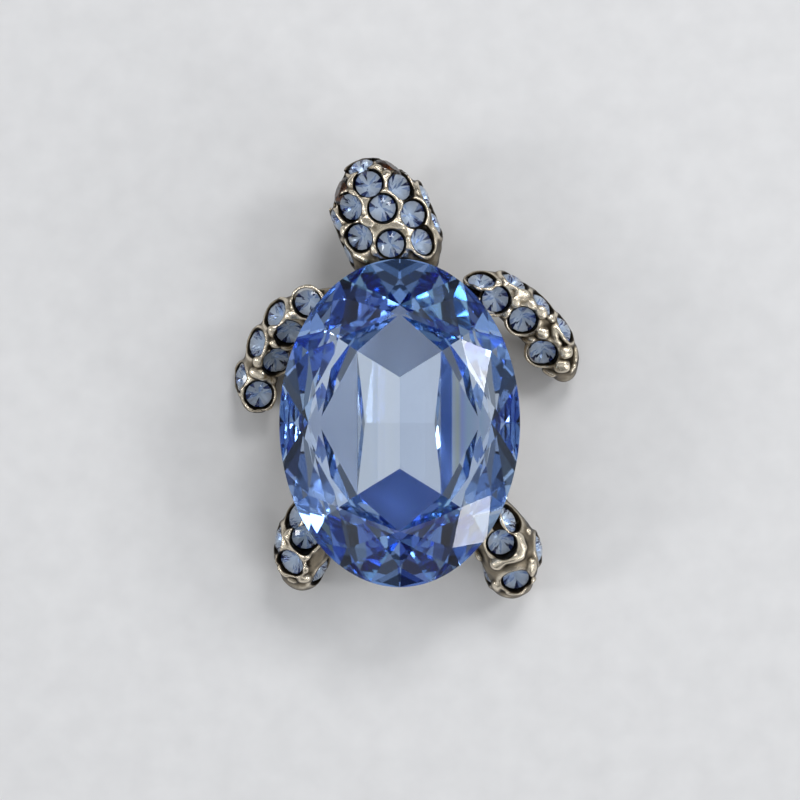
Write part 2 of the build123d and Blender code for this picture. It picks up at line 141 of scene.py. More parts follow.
def studio_world():
    """A plain studio: a ring of pale panels at mid height, dimmer straight overhead and low down."""
    world = bpy.data.worlds.new("studio")
    bpy.context.scene.world = world
    world.use_nodes = True
    nodes, links = world.node_tree.nodes, world.node_tree.links
    nodes.clear()
    direction = nodes.new("ShaderNodeTexCoord")
    split = nodes.new("ShaderNodeSeparateXYZ")
    background = nodes.new("ShaderNodeBackground")
    output = nodes.new("ShaderNodeOutputWorld")
    links.new(direction.outputs["Generated"], split.inputs[0])

    # Brightness by height, from below the horizon to straight overhead
    ramp = nodes.new("ShaderNodeValToRGB")
    stops = ramp.color_ramp.elements
    stops[0].color = (0.20, 0.21, 0.23, 1)
    stops[1].color = (0.14, 0.15, 0.17, 1)
    for place, level in ((0.40, 0.60), (0.68, 1.05), (0.955, 1.30), (0.985, 0.20)):
        stops.new(place).color = (level * 0.96, level * 0.98, level, 1)
    links.new(split.outputs["Z"], ramp.inputs[0])
    links.new(ramp.outputs[0], background.inputs["Color"])

    # The panels, in waves round the brooch
    turn = nodes.new("ShaderNodeTexGradient")
    turn.gradient_type = "RADIAL"
    phase = maths(nodes, "MULTIPLY")
    phase.inputs[1].default_value = 2 * math.pi * PANELS
    wave = maths(nodes, "COSINE")
    panel = map_range(nodes, (-0.5, 0.3), (0.14, 1.0))
    links.new(direction.outputs["Generated"], turn.inputs[0])
    links.new(turn.outputs["Fac"], phase.inputs[0])
    links.new(phase.outputs[0], wave.inputs[0])
    links.new(wave.outputs[0], panel.inputs["Value"])

    # A whole wall at either side, and less light from behind the head
    aside = maths(nodes, "ABSOLUTE")
    wall = map_range(nodes, (0.38, 0.50), (0.0, 1.0))
    wider = maths(nodes, "MAXIMUM")
    depth = map_range(nodes, (-1.0, 1.0), (1.0, 0.40))
    strength = maths(nodes, "MULTIPLY")
    links.new(split.outputs["X"], aside.inputs[0])
    links.new(aside.outputs[0], wall.inputs["Value"])
    links.new(panel.outputs[0], wider.inputs[0])
    links.new(wall.outputs[0], wider.inputs[1])
    links.new(split.outputs["Y"], depth.inputs["Value"])
    links.new(wider.outputs[0], strength.inputs[0])
    links.new(depth.outputs[0], strength.inputs[1])
    links.new(strength.outputs[0], background.inputs["Strength"])
    links.new(background.outputs[0], output.inputs["Surface"])


def floor_material():
    """Pale matt card with a very fine tooth."""
    material = bpy.data.materials.new("pale_card")
    material.use_nodes = True
    nodes, links = material.node_tree.nodes, material.node_tree.links
    shader = nodes["Principled BSDF"]
    shader.inputs["Roughness"].default_value = 0.85
    grain = nodes.new("ShaderNodeTexNoise")
    grain.inputs["Scale"].default_value = 900.0
    tint = nodes.new("ShaderNodeValToRGB")
    tint.color_ramp.elements[0].color = (0.70, 0.70, 0.71, 1)
    tint.color_ramp.elements[1].color = (0.80, 0.80, 0.81, 1)
    links.new(grain.outputs["Fac"], tint.inputs[0])
    links.new(tint.outputs[0], shader.inputs["Base Color"])
    return material


def lay_floor():
    """A large pale floor at z = 0."""
    corners = [(FLOOR_HALF * x, FLOOR_HALF * y, 0) for x, y in ((-1, -1), (1, -1), (1, 1), (-1, 1))]
    mesh = bpy.data.meshes.new("floor")
    mesh.from_pydata(corners, [], [(0, 1, 2, 3)])
    floor = bpy.data.objects.new("floor", mesh)
    floor.data.materials.append(floor_material())
    bpy.context.scene.collection.objects.link(floor)


place_camera()
studio_world()
lay_floor()
# The back and left windows stand where no facet of the shell stone's crown mirrors them into the camera, and
# the two at the right where one facet each does, as in the photograph
soft_light("back_window", 71.0, 42.0, 0.19, 1.1)
soft_light("left_window", -169.0, 62.0, 0.13, 0.7)
soft_light("right_window", 23.0, 54.0, 0.15, 0.8)
soft_light("low_right_window", -36.0, 69.0, 0.15, 0.6)
scene = bpy.context.scene
scene.view_settings.view_transform = "Standard"
scene.cycles.max_bounces = BOUNCES
scene.cycles.glossy_bounces = BOUNCES
scene.cycles.transmission_bounces = BOUNCES


# Stones

def glass_material(name, absorb, index):
    """Clear coloured glass: colour from the way that light is taken up inside it."""
    material = bpy.data.materials.new(name)
    material.use_nodes = True
    nodes, links = material.node_tree.nodes, material.node_tree.links
    shader = nodes["Principled BSDF"]
    shader.inputs["Base Color"].default_value = (1, 1, 1, 1)
    shader.inputs["Transmission Weight"].default_value = 1.0
    shader.inputs["IOR"].default_value = index
    wear = nodes.new("ShaderNodeTexNoise")
    wear.inputs["Scale"].default_value = 700.0
    roughness = map_range(nodes, (0.45, 0.8), (0.0, 0.025))
    links.new(wear.outputs["Fac"], roughness.inputs["Value"])
    links.new(roughness.outputs[0], shader.inputs["Roughness"])
    volume = nodes.new("ShaderNodeVolumeAbsorption")
    strongest = max(absorb)
    volume.inputs["Color"].default_value = (*[1 - value / strongest for value in absorb], 1)
    volume.inputs["Density"].default_value = strongest
    links.new(volume.outputs[0], nodes["Material Output"].inputs["Volume"])
    return material


def foil_material(name, colour, roughness, metallic=1.0):
    """Foil behind a stone, slightly uneven: a mirror, or paler and more matt where it is less metallic."""
    material = bpy.data.materials.new(name)
    material.use_nodes = True
    nodes, links = material.node_tree.nodes, material.node_tree.links
    shader = nodes["Principled BSDF"]
    shader.inputs["Metallic"].default_value = metallic
    shader.inputs["Roughness"].default_value = roughness
    cloud = nodes.new("ShaderNodeTexNoise")
    cloud.inputs["Scale"].default_value = 500.0
    tint = nodes.new("ShaderNodeValToRGB")
    tint.color_ramp.elements[0].color = (*[0.9 * value for value in colour], 1)
    tint.color_ramp.elements[1].color = (*colour, 1)
    links.new(cloud.outputs["Fac"], tint.inputs[0])
    links.new(tint.outputs[0], shader.inputs["Base Color"])
    return material


def table_of(mesh):
    """The middle and the normal of a stone's table, its largest flat facet."""
    facets = {}
    for polygon in mesh.polygons:
        key = tuple(round(value, 2) for value in polygon.normal)
        facets.setdefault(key, []).append(polygon)
    table = max(facets.values(), key=lambda group: sum(polygon.area for polygon in group))
    area = sum(polygon.area for polygon in table)
    centre = sum((polygon.center * polygon.area for polygon in table), Vector()) / area
    normal = sum((polygon.normal * polygon.area for polygon in table), Vector()).normalized()
    return centre, normal


def keel_foil_material(name):
    """Foil on the long facets behind the shell stone's table, in strips of painted reflection and of
    roughness, as the photograph shows them.
    """
    material = foil_material(name, (0.90, 0.92, 0.96), 0.02)
    nodes, links = material.node_tree.nodes, material.node_tree.links
    shader = nodes["Principled BSDF"]
    place = nodes.new("ShaderNodeTexCoord")
    split = nodes.new("ShaderNodeSeparateXYZ")
    strips = nodes.new("ShaderNodeValToRGB")
    first, last = KEEL_PAINTED_REFLECTION_STRIPS[0].px, KEEL_PAINTED_REFLECTION_STRIPS[-1].px
    ends = [at_pixel(px, IMAGE_CENTRE)[0] * MM for px in (first, last)]
    across = map_range(nodes, ends, (0.0, 1.0))
    stops = strips.color_ramp.elements
    for strip in KEEL_PAINTED_REFLECTION_STRIPS[1:-1]:
        stops.new((strip.px - first) / (last - first)).color = strip[1:]
    stops[0].color = KEEL_PAINTED_REFLECTION_STRIPS[0][1:]
    stops[len(stops) - 1].color = KEEL_PAINTED_REFLECTION_STRIPS[-1][1:]
    tint = shader.inputs["Base Color"].links[0].from_socket
    links.new(place.outputs["Object"], split.inputs[0])
    links.new(split.outputs["X"], across.inputs["Value"])
    links.new(across.outputs[0], strips.inputs[0])
    # The strips' tints are painted reflections on the foil
    product = multiply_colours(nodes, links, tint, strips.outputs["Color"])
    links.new(product, shader.inputs["Base Color"])
    links.new(strips.outputs["Alpha"], shader.inputs["Roughness"])
    return material


def brilliant_facets(half_long, half_wide, crown, girdle, pavilion):
    """Corner points and facets of a full-cut brilliant: its table, stars, kites and halves."""

    def ring(turns, share, height):
        angles = [math.radians(turn) for turn in turns]
        return [(half_long * share * math.cos(a), half_wide * share * math.sin(a), height) for a in angles]

    mains = [EIGHTH_TURN * k for k in range(8)]
    between = [turn + EIGHTH_TURN / 2 for turn in mains]
    lean = math.cos(math.radians(EIGHTH_TURN / 2))
    star_height = girdle + crown * (1 - STAR_SHARE * lean) / (1 - TABLE_SHARE)
    half_height = -pavilion * (1 - HALF_SHARE * lean)
    edge = sorted(mains + between)
    points = ring(mains, TABLE_SHARE, girdle + crown) + ring(between, STAR_SHARE, star_height)
    points += ring(edge, 1.0, girdle) + ring(edge, 1.0, 0.0) + ring(between, HALF_SHARE, half_height)
    points.append((0.0, 0.0, -pavilion))
    # Where each ring's points begin
    table, star, upper, lower, half, tip = 0, 8, 16, 32, 48, 56
    facets = [[table + k for k in range(8)]]
    for k in range(8):
        after, before = (k + 1) % 8, (k - 1) % 8
        main, middle, next_main = 2 * k, 2 * k + 1, (2 * k + 2) % 16
        facets.append([table + k, star + before, upper + main, star + k])
        facets.append([table + k, star + k, table + after])
        facets.append([star + k, upper + main, upper + middle])
        facets.append([star + k, upper + middle, upper + next_main])
        facets.append([upper + main, lower + main, lower + middle, upper + middle])
        facets.append([upper + middle, lower + middle, lower + next_main, upper + next_main])
        facets.append([half + k, lower + middle, lower + main])
        facets.append([half + k, lower + next_main, lower + middle])
        facets.append([tip, half + k, lower + main, half + before])
    return points, facets


def long_and_wide(points, axis):
    """The directions of a stone's length and width, from its points round its axis."""
    flat = points - np.outer(points @ axis, axis)
    long = np.linalg.svd(flat, full_matrices=False)[2][0]
    return long, np.cross(axis, long)


def dress_small_stone(node, sizes, glass, foils):
    """A full-cut brilliant that fills a small stone's solid, with foils on the facets below its girdle, their
    tones painted light and shade, facet by facet.
    """
    crown, girdle, pavilion = sizes
    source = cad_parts[node].data
    centre, normal = table_of(source)
    axis = np.array(normal)
    middle = np.array(centre) - axis * (crown + girdle) * MM
    points = np.array([vertex.co for vertex in source.vertices]) - middle
    long, wide = long_and_wide(points, axis)
    halves = [np.abs(points @ direction).max() / MM for direction in (long, wide)]
    local, facets = brilliant_facets(*halves, crown, girdle, pavilion)
    turned = np.array(local) @ np.array([long, wide, axis]) * MM + middle
    mesh = bpy.data.meshes.new(node + "_cut")
    mesh.from_pydata(turned.tolist(), [], facets)
    for material in [glass] + foils:
        mesh.materials.append(material)
    # Each foiled facet gets painted light or painted shade
    for eighth, tones in enumerate(FOIL_PAINTED_LIGHT_AND_SHADE):
        for place, tone in enumerate(tones):
            mesh.polygons[FACETS_IN_EIGHTH * eighth + FIRST_FOILED_FACET + place].material_index = tone
    piece = bpy.data.objects.new(node + "_cut", mesh)
    bpy.context.scene.collection.objects.link(piece)
    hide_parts(node)
    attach(piece, "root")


def shell_facet(normal, centre):
    """The material's name on a facet of the shell stone: glass, a foil of painted reflection behind its
    table, or a foil tone of painted reflection.
    """
    if normal.z > FOIL_FACING:
        return "glass"
    lean_x, lean_y = abs(normal.x), abs(normal.y)
    if lean_x < KEEL_LEAN[0] and lean_y < KEEL_LEAN[1]:
        return "keel"
    if lean_x < GABLE_LEAN[0] and lean_y < GABLE_LEAN[1]:
        return "head_gable" if normal.y > 0 else "tail_gable"
    here = np.array(centre)[:2] / MM
    gaps = {}
    for tone, places in FACETS_OF_PAINTED_REFLECTION.items():
        gaps[tone] = min(np.linalg.norm(at_pixel(*place)[:2] - here) for place in places)
    return min(gaps, key=gaps.get)


def dress_shell(materials):
    """A copy of the shell stone's solid, with glass down to its girdle and foils on the facets below it,
    their tints painted reflections, facet by facet.
    """
    names = list(materials)
    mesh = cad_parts["shell_stone"].data.copy()
    mesh.name = "shell_stone_cut"
    mesh.materials.clear()
    for material in materials.values():
        mesh.materials.append(material)
    for polygon in mesh.polygons:
        polygon.use_smooth = False
        # Each foiled facet gets the foil of its painted reflection
        polygon.material_index = names.index(shell_facet(polygon.normal, polygon.center))
    piece = bpy.data.objects.new("shell_stone_cut", mesh)
    bpy.context.scene.collection.objects.link(piece)
    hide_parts("shell_stone")
    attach(piece, "root")


# Crown, girdle and pavilion of the small stones, and their facets' places as shares of the half width
GEM_HEIGHTS_MM = (0.38, 0.08, 1.02)
EYE_HEIGHTS_MM = (0.55, 0.08, 1.05)
TABLE_SHARE = 0.55
STAR_SHARE = 0.80
HALF_SHARE = 0.28
EIGHTH_TURN = 45.0
# After the table come nine facets for each eighth of a turn, the last three of them below the girdle
FACETS_IN_EIGHTH = 9
FIRST_FOILED_FACET = 7
# Painted light and shade on the foil of each eighth's two halves and main facet: 1 pale, 2 middling, 3 dark
FOIL_PAINTED_LIGHT_AND_SHADE = [(1, 2, 1), (3, 1, 1), (1, 1, 2), (3, 1, 1), (2, 3, 1), (1, 1, 2), (3, 2, 1), (1, 1, 1)]
# A facet of the shell stone is foiled when it faces further down than this, and lies behind the table when it
# leans less than these to the sides and the ends
FOIL_FACING = -0.1
KEEL_LEAN = (0.5, 0.04)
GABLE_LEAN = (0.05, 0.4)
# Light taken up along each metre of path, for red, green and blue
SHELL_ABSORB = (19.0, 12.5, 4.5)
GEM_ABSORB = (150.0, 80.0, 0.0)
EYE_ABSORB = (700.0, 1050.0, 1900.0)
# The strips of painted reflection on the foil behind the table: where each begins or ends across the
# photograph, its tint and its roughness
KeelStrip = namedtuple("KeelStrip", "px red green blue roughness")
KEEL_PAINTED_REFLECTION_STRIPS = [
    KeelStrip(325.0, 0.92, 0.95, 1.00, 0.45),
    KeelStrip(357.0, 0.92, 0.95, 1.00, 0.45),
    KeelStrip(357.5, 0.90, 0.92, 0.94, 0.02),
    KeelStrip(377.5, 0.90, 0.92, 0.94, 0.02),
    KeelStrip(378.0, 1.00, 1.00, 1.00, 0.02),
    KeelStrip(399.7, 1.00, 1.00, 1.00, 0.02),
    KeelStrip(400.0, 0.84, 0.87, 0.93, 0.02),
    KeelStrip(440.5, 0.84, 0.87, 0.93, 0.02),
    KeelStrip(441.0, 0.28, 0.41, 0.78, 0.20),
    KeelStrip(451.5, 0.28, 0.41, 0.78, 0.20),
    KeelStrip(452.5, 0.90, 0.92, 0.96, 0.45),
    KeelStrip(458.0, 0.92, 0.90, 0.70, 0.45),
    KeelStrip(462.0, 0.66, 0.70, 0.95, 0.45),
    KeelStrip(468.0, 0.74, 0.86, 0.92, 0.45),
    KeelStrip(480.0, 0.90, 0.93, 1.00, 0.45),
]
# Painted reflections on the foil of the shell stone's outer facets: red, green, blue and roughness
SHELL_PAINTED_REFLECTIONS = {
    "deep": (0.29, 0.38, 0.70, 0.02),
    "navy": (0.50, 0.61, 0.82, 0.02),
    "blue": (0.60, 0.74, 0.92, 0.02),
    "sky": (0.64, 0.88, 0.97, 0.02),
    "grey": (0.76, 0.82, 0.92, 0.03),
    "pale": (0.92, 0.95, 1.00, 0.03),
    "white": (1.00, 1.00, 1.00, 0.03),
}
# The outer facets that have each painted reflection, listed by the pixel at each facet's middle
Pixel = namedtuple("Pixel", "px py")
FACETS_OF_PAINTED_REFLECTION = {
    "deep": [Pixel(358, 310), Pixel(470, 308), Pixel(506, 409), Pixel(410, 568)],
    "navy": [
        Pixel(483, 479), Pixel(441, 536), Pixel(316, 328), Pixel(330, 308), Pixel(410, 278),
        Pixel(484, 328), Pixel(501, 382), Pixel(506, 437), Pixel(390, 568),
    ],
    "blue": [
        Pixel(316, 367), Pixel(435, 334), Pixel(358, 536), Pixel(390, 278), Pixel(429, 285),
        Pixel(293, 409), Pixel(293, 437), Pixel(316, 518), Pixel(370, 561), Pixel(429, 561),
    ],
    "sky": [Pixel(370, 285), Pixel(330, 538)],
    "grey": [
        Pixel(337, 475), Pixel(316, 479), Pixel(462, 475), Pixel(365, 334), Pixel(365, 512),
        Pixel(435, 512), Pixel(441, 310), Pixel(470, 538),
    ],
    "pale": [Pixel(337, 371), Pixel(462, 371), Pixel(298, 382), Pixel(298, 464), Pixel(501, 464)],
    "white": [Pixel(483, 367), Pixel(484, 518)],
}
shell_glass = glass_material("shell_glass", SHELL_ABSORB, 1.55)
gem_glass = glass_material("gem_glass", GEM_ABSORB, 1.56)
eye_glass = glass_material("eye_glass", EYE_ABSORB, 1.56)
# Foils in three tones of painted light and shade, from pale to dark
gem_foils = [
    foil_material("gem_foil_painted_light", (1.00, 1.00, 1.00), 0.20, 0.15),
    foil_material("gem_foil_painted_half_shade", (0.66, 0.76, 0.98), 0.20, 0.5),
    foil_material("gem_foil_painted_shade", (0.06, 0.08, 0.22), 0.20),
]
# The eyes' brown foil, in three tones of painted light and shade
eye_foils = [
    foil_material("eye_foil_painted_light", (0.55, 0.38, 0.24), 0.30),
    foil_material("eye_foil_painted_half_shade", (0.25, 0.16, 0.10), 0.30),
    foil_material("eye_foil_painted_shade", (0.06, 0.05, 0.04), 0.30),
]
shell_materials = {
    "glass": shell_glass,
    "keel": keel_foil_material("keel_foil_painted_reflections"),
    # The foil at the head end is painted light, and at the tail end painted shade
    "head_gable": foil_material("head_gable_foil_painted_light", (0.82, 0.86, 0.94), 0.35),
    "tail_gable": foil_material("tail_gable_foil_painted_shade", (0.20, 0.30, 0.72), 0.25),
}
# Each tone is a painted reflection on the foil, set facet by facet
for tone, (*colour, roughness) in SHELL_PAINTED_REFLECTIONS.items():
    shell_materials[tone] = foil_material("shell_foil_painted_reflection_" + tone, colour, roughness)

dress_shell(shell_materials)
for stone in SMALL_STONES:
    dress_small_stone(stone, GEM_HEIGHTS_MM, gem_glass, gem_foils)
for stone in EYE_STONES:
    dress_small_stone(stone, EYE_HEIGHTS_MM, eye_glass, eye_foils)


# Metal

# Limbs as in the solids: the root in the shell's half sizes, then reach, heading and thickness, and the
# sections in shares of them. A section's slim share is the mesh's own.
Section = namedtuple("Section", "along bow lift girth slim", defaults=[1.0])
Limb = namedtuple("Limb", "root reach heading thickness sections")
LIMBS = [
    # Head
    Limb((0.070, 0.916), 8.35, 114.0, 8.9, [
        Section(0.00, 0.06, 1.00, 0.72, 0.78),
        Section(0.36, 0.0, 0.40, 0.97),
        Section(0.66, 0.0, 0.49, 1.00),
        Section(0.85, 0.0, 1.26, 0.83),
        Section(1.00, 0.0, 2.11, 0.62),
    ]),
    # Left flipper
    Limb((-0.583, 0.785), 11.6, -126.0, 3.5, [
        Section(0.00, 0.10, 1.00, 1.03, 0.70),
        Section(0.14, -0.05, 0.86, 1.03, 0.76),
        Section(0.33, -0.157, 0.64, 1.00),
        Section(0.60, -0.158, 0.28, 1.00),
        Section(0.85, -0.09, 0.04, 1.00),
        Section(1.00, 0.0, 0.00, 0.88),
    ]),
    # Right flipper
    Limb((0.655, 0.828), 11.2, -43.0, 4.1, [
        Section(0.00, 0.0, 1.00, 0.93, 0.76),
        Section(0.14, 0.083, 0.90, 0.95, 0.90),
        Section(0.36, 0.123, 0.69, 1.00),
        Section(0.66, 0.109, 0.36, 1.00),
        Section(0.88, 0.05, 0.13, 0.95, 0.92),
        Section(0.98, 0.0, 0.07, 0.78, 0.74),
    ]),
    # Left foot
    Limb((-0.646, -0.500), 6.4, -108.0, 4.7, [
        Section(0.00, 0.0, 1.00, 0.81),
        Section(0.37, -0.11, 0.70, 0.94),
        Section(0.72, -0.11, 0.31, 1.04),
        Section(1.00, 0.0, 0.00, 0.85),
    ]),
    # Right foot
    Limb((0.673, -0.492), 7.4, -66.5, 5.4, [
        Section(0.00, 0.0, 1.00, 0.72),
        Section(0.35, 0.081, 0.77, 0.86),
        Section(0.70, 0.096, 0.34, 1.03),
        Section(1.00, 0.0, 0.06, 0.80),
    ]),
]

# Heights and sizes of the casting, as in the solids
GIRDLE_RISE_MM = 9.15
ROOT_DROP_MM = 1.0
ROOT_LENGTH_MM = 1.6
ROOT_GIRTH = 0.85
CUP_BACK_DROP_MM = 5.95
RIM_DROP_MM = 1.8
CUP_WALL_MM = 0.9
CUP_SWELL_MM = 0.5
SHELL_GAP_MM = 0.15
SEAT_MARGIN_MM = 0.35
SEAT_FLOOR_SHARE = 0.60
SEAT_DEPTH_MM = SHELL_PAVILION_MM + SHELL_GAP_MM

# Relief
GRID_STEP_MM = 0.11
GRID_MARGIN_MM = 0.3
SHAPE_MARGIN_MM = 0.5
FAR_MM = 4.0
TINY = 1e-6
LINE_STEP = 0.2
SEAT_ROOM_MM = 0.12
CUP_EDGE_BLEND_MM = 0.3
CUP_BLEND_MM = 0.01
SEAT_BLEND_MM = 0.12
LIMB_BLEND_MM = 0.6
RIM_OFFSET_MM = 0.32
RIM_HEIGHT_MM = 0.06
RIM_RADIUS_MM = 0.19
RIM_BLEND_MM = 0.35
SOCKET_GAP_MM = 0.14
SOCKET_TOP_MM = 0.9
SOCKET_BLEND_MM = 0.10
NUGGET_BLEND_MM = 0.10
NUGGET_SINK = 0.15
NUGGET_THICKNESS = 0.9
PEBBLE_POWER = 2.5
RIDGE_BLEND_MM = 0.12
RIDGE_SINK = 0.05
SLIVER_PX = (331.0, 208.5)
SLIVER_RADIUS_MM = 0.55
SLIVER_BLEND_MM = 0.15
DENT_SIZE_MM = 0.75
DENT_DEPTH_MM = 0.07
DENT_SEED = 7
BOX_MARGIN_MM = 0.02
SMOOTHING_ROUNDS = 2
MOST_TRIANGLES = 190000
# Brightness of the metal, darker in hollows partly by antiquing and partly by painted shade, and painted
# shade on the flanks: how many grid steps round a point count as its surroundings, near by and farther off,
# and how much each counts, then what a flank and the back keep of it
HOLLOW_REACHES = ((3, 0.6), (7, 0.4))
RAISED_SHARE = 0.22
SLOPE_REACH_MM = 0.3
FLANK_SHARE = 0.25
FLANK_SLOPE = 0.6
BACK_SLOPE = 0.5
BACK_LEAST_BRIGHTNESS = 0.62
# The shaded ring round a stone: its width, and how far out and up from the girdle it is looked for
RING_SHADE_MM = 0.16
RING_OUT_MM = 1.0
RING_UP_MM = 1.2
# How far off the skin's direction is felt for, and the heights at which the camera's line is followed: from
# above the girdle to just above the floor
FEEL_MM = 0.5
LOOK_FROM_MM = 1.5
LOOK_TO_MM = 0.3
LOOK_STEP_MM = 0.05

CORNERS = np.array([(i, j, k) for i in (0, 1) for j in (0, 1) for k in (0, 1)])
EDGES = [(a, b) for a in range(8) for b in range(a + 1, 8) if np.abs(CORNERS[a] - CORNERS[b]).sum() == 1]

# Nuggets and ridges as the photograph shows them: a place in pixels, lengths in millimetres, and the turn of
# the long side from the image's right, anticlockwise, in degrees.
Nugget = namedtuple("Nugget", "px py long wide turn")
NUGGETS = [
    # Head
    Nugget(384.7, 175.7, 1.5, 0.9, 55),
    Nugget(377.0, 168.0, 0.9, 0.8, 0),
    Nugget(351.5, 181.5, 1.2, 0.8, 60),
    Nugget(353.0, 193.0, 1.1, 0.8, 0),
    Nugget(367.0, 200.0, 1.0, 0.9, 0),
    Nugget(399.0, 206.0, 1.2, 0.8, 70),
    Nugget(366.5, 221.0, 1.5, 1.0, -20),
    Nugget(396.0, 225.0, 1.8, 0.8, -10),
    Nugget(422.5, 228.0, 1.2, 0.9, -10),
    Nugget(374.7, 250.0, 0.8, 1.4, 0),
    Nugget(407.5, 243.0, 0.7, 1.3, 0),
    Nugget(344.5, 231.0, 1.0, 1.2, 0),
    Nugget(361.0, 257.5, 1.8, 0.8, -15),
    # Right flipper
    Nugget(521.7, 295.5, 1.6, 1.3, -30),
    Nugget(515.3, 302.2, 1.1, 1.2, 0),
    Nugget(531.3, 305.0, 0.9, 1.1, 20),
    Nugget(506.7, 314.2, 1.1, 0.7, 50),
    Nugget(541.3, 312.5, 1.1, 1.35, 10),
    Nugget(552.0, 317.5, 0.7, 1.1, 25),
    Nugget(542.5, 333.3, 1.35, 1.2, 0),
    Nugget(555.0, 331.5, 1.0, 1.5, 10),
    Nugget(528.3, 339.2, 1.5, 0.8, 24),
    Nugget(558.0, 342.0, 1.1, 0.65, -45),
    Nugget(565.8, 351.7, 1.4, 1.4, 0),
    Nugget(575.5, 354.0, 0.65, 1.6, 0),
    Nugget(562.3, 365.8, 1.6, 1.35, 0),
    Nugget(549.2, 372.0, 1.5, 0.9, -15),
    Nugget(572.5, 368.5, 0.6, 1.1, -30),
    # Left flipper
    Nugget(292.9, 300.7, 0.7, 0.7, 0),
    Nugget(291.0, 313.8, 1.1, 0.9, 0),
    Nugget(274.3, 331.4, 1.2, 1.6, 0),
    Nugget(275.0, 342.9, 1.2, 1.1, 0),
    Nugget(286.4, 347.1, 1.4, 0.7, -20),
    Nugget(265.7, 354.3, 1.4, 0.65, 45),
    Nugget(257.9, 361.4, 1.05, 1.35, 0),
    Nugget(257.0, 373.0, 1.4, 1.1, -10),
    Nugget(264.5, 375.5, 1.2, 0.9, -10),
    Nugget(272.0, 380.2, 1.1, 0.8, -25),
    Nugget(242.9, 394.3, 0.55, 1.6, 0),
    Nugget(250.7, 408.0, 1.0, 0.75, -45),
    Nugget(268.6, 407.5, 0.95, 0.6, 25),
    # Right foot
    Nugget(531.3, 567.5, 1.1, 2.1, 0),
    Nugget(531.0, 581.0, 1.2, 0.7, 30),
    Nugget(515.0, 592.0, 1.9, 0.7, 0),
    Nugget(496.5, 586.0, 1.1, 1.7, 0),
    Nugget(479.5, 555.0, 1.2, 1.0, 0),
    Nugget(528.5, 531.5, 0.7, 0.6, -30),
    # Left foot
    Nugget(290.6, 523.8, 1.2, 1.15, 0),
    Nugget(297.0, 519.8, 0.6, 0.5, 0),
    Nugget(303.5, 577.0, 1.5, 1.3, -20),
    Nugget(305.6, 569.0, 0.6, 0.9, 0),
    Nugget(292.5, 579.5, 1.2, 0.9, -30),
    Nugget(277.3, 561.3, 0.65, 1.1, 0),
    Nugget(282.3, 571.5, 1.5, 0.65, -58),
]
# Each ridge runs through points of the photograph, with its width in millimetres at each.
RidgePoint = namedtuple("RidgePoint", "px py width")
RIDGES = [
    # Right foot: the S round the upper stone, and its bulb
    [
        RidgePoint(498.8, 523.0, 0.6),
        RidgePoint(511.3, 529.5, 0.8),
        RidgePoint(519.0, 538.5, 1.0),
        RidgePoint(522.0, 547.5, 1.1),
        RidgePoint(519.5, 554.5, 1.1),
        RidgePoint(512.0, 557.8, 1.0),
        RidgePoint(503.8, 559.8, 1.05),
        RidgePoint(496.9, 563.3, 1.4),
    ],
    # Left flipper: the double band under the first stone
    [RidgePoint(289.0, 313.5, 0.6), RidgePoint(299.0, 315.2, 0.45), RidgePoint(308.0, 318.8, 0.4)],
    [RidgePoint(290.0, 316.5, 0.6), RidgePoint(298.0, 318.5, 0.45), RidgePoint(306.0, 322.5, 0.4)],
    # Right flipper: the band above the first stone
    [RidgePoint(471.0, 287.5, 0.6), RidgePoint(486.0, 285.4, 0.65), RidgePoint(497.0, 283.3, 1.0)],
    # Left foot: two bulbs and the waist between them
    [
        RidgePoint(288.8, 535.6, 1.05),
        RidgePoint(293.1, 542.5, 0.9),
        RidgePoint(298.1, 548.1, 0.8),
        RidgePoint(304.8, 554.2, 1.4),
    ],
]


def smooth_least(a, b, blend):
    """The lesser of two distances, with the crease between them rounded."""
    near = np.maximum(blend - np.abs(a - b), 0) / blend
    return np.minimum(a, b) - near * near * blend / 4


class Field:
    """Distances to the metal's skin on a grid, in millimetres, negative inside it."""

    def __init__(self, low, high, step):
        self.low = np.array(low, np.float32)
        self.step = step
        shape = [int((top - bottom) / step) + 2 for bottom, top in zip(low, high)]
        self.values = np.full(shape, FAR_MM, np.float32)

    def window(self, low, high):
        """The grid's part inside a box, and the places of its points along each axis."""
        slices, axes = [], []
        for axis in range(3):
            first = max(int((low[axis] - self.low[axis]) / self.step), 0)
            last = min(int((high[axis] - self.low[axis]) / self.step) + 2, self.values.shape[axis])
            shape = [1, 1, 1]
            shape[axis] = -1
            places = self.low[axis] + self.step * np.arange(first, last, dtype=np.float32)
            slices.append(slice(first, last))
            axes.append(places.reshape(shape))
        return tuple(slices), axes

    def join(self, low, high, distance, blend):
        """Adds a shape, with a rounded crease."""
        part, places = self.window(low, high)
        self.values[part] = smooth_least(self.values[part], distance(*places), blend)

    def cut(self, low, high, distance, blend):
        """Takes a shape away, with a rounded edge."""
        part, places = self.window(low, high)
        self.values[part] = -smooth_least(-self.values[part], distance(*places), blend)

    def sample(self, points):
        """Distances at any points, from the grid's points round them."""
        place = (np.asarray(points) - self.low) / self.step
        first = np.clip(np.floor(place).astype(int), 0, np.array(self.values.shape) - 2)
        share = place - first
        total = np.zeros(len(place))
        for corner in CORNERS:
            index = first + corner
            weight = np.prod(np.where(corner, share, 1 - share), axis=1)
            total += weight * self.values[index[:, 0], index[:, 1], index[:, 2]]
        return total

    def outward(self, point, reach):
        """The skin's direction at a point."""
        steps = np.eye(3) * reach
        slope = self.sample(point + steps) - self.sample(point - steps)
        return slope / np.linalg.norm(slope)


